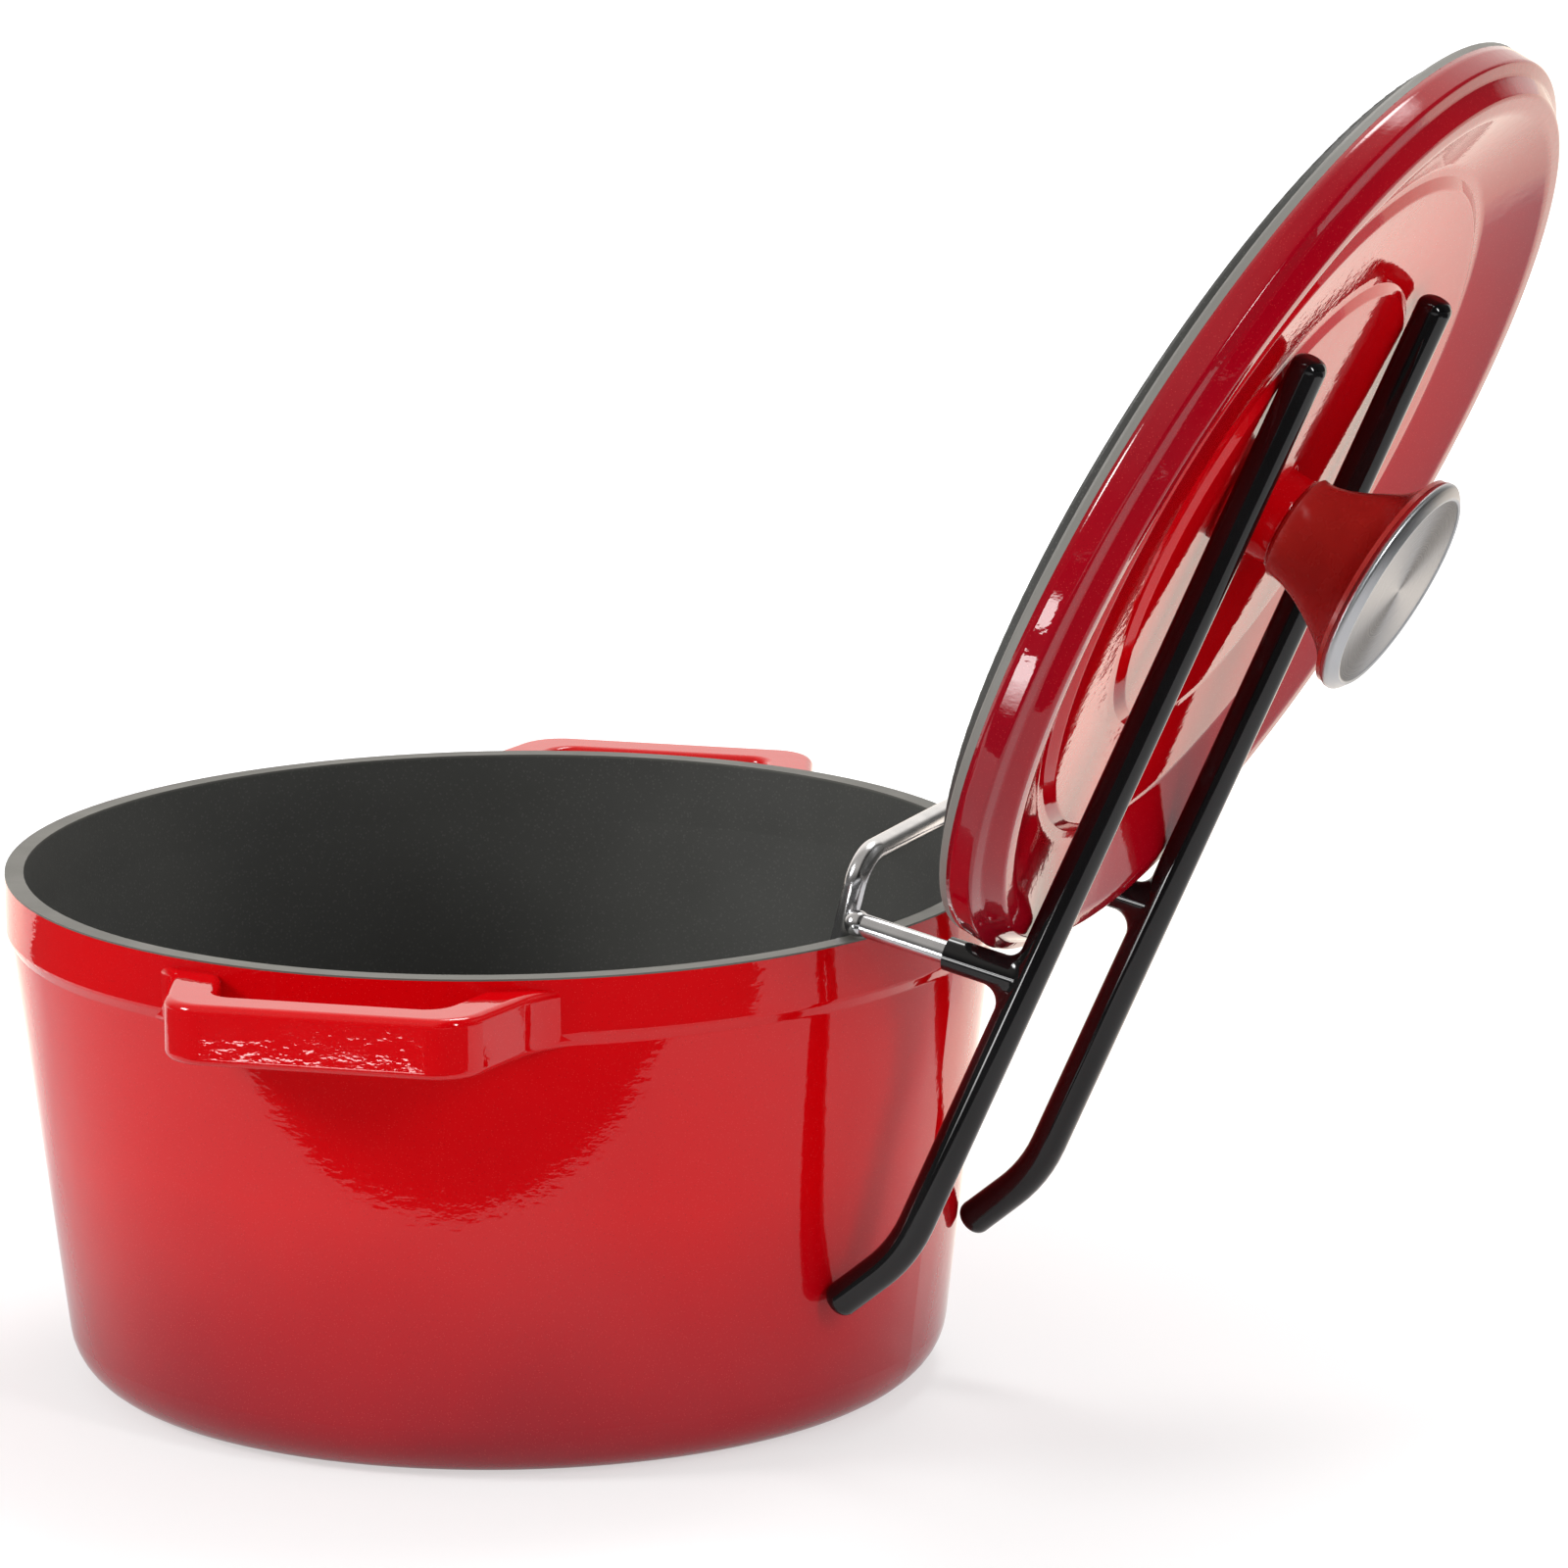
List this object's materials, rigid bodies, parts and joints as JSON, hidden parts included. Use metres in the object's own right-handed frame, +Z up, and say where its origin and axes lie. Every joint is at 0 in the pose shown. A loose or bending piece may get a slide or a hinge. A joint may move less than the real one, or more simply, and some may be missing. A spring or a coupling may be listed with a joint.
{
  "type": "dutch oven",
  "caption": "Round red enamelled cast iron dutch oven with loop handles, its knobbed lid parked in a wire lid stand hooked over the rim",
  "frame": {"origin": "centre of the pot's flat base", "axes": "+Z up out of the pot's mouth, +X towards the lid stand, +Y completes a right-handed frame"},
  "size_m": [0.4131, 0.3254, 0.3714],
  "materials": {
    "red_enamel": "gloss red enamel fired onto cast iron",
    "dark_enamel": "matte black enamel",
    "red_knob": "satin red phenolic",
    "steel_cap": "radially brushed face with a polished edge",
    "brass_insert": "plain machined",
    "zinc_steel": "plain steel",
    "black_coat": "gloss black vinyl dip",
    "bright_wire": "bright chrome plate"
  },
  "bodies": {
    "pot": {"pot_casting": "red_enamel", "pot_lining": "dark_enamel"},
    "stand": {"stand_rod_left": "zinc_steel", "stand_rod_right": "zinc_steel", "stand_sleeve_left": "black_coat", "stand_sleeve_right": "black_coat", "stand_strut_left": "bright_wire", "stand_strut_right": "bright_wire", "stand_bridge": "bright_wire", "stand_weld_left": "bright_wire", "stand_weld_right": "bright_wire"},
    "lid": {"lid_casting": "red_enamel", "lid_lining": "dark_enamel", "knob_body": "red_knob", "knob_cap": "steel_cap", "knob_insert": "brass_insert", "knob_washer": "zinc_steel", "knob_screw": "zinc_steel"}
  },
  "joints": [
    {"name": "stand_unhook", "type": "slide", "parent": "pot", "child": "stand", "axis": [0.2487, 0, 0.9686], "range_m": [0, 0.12]},
    {"name": "lid_lift", "type": "slide", "parent": "stand", "child": "lid", "axis": [0, 0, 1], "range_m": [0, 0.2]}
  ]
}
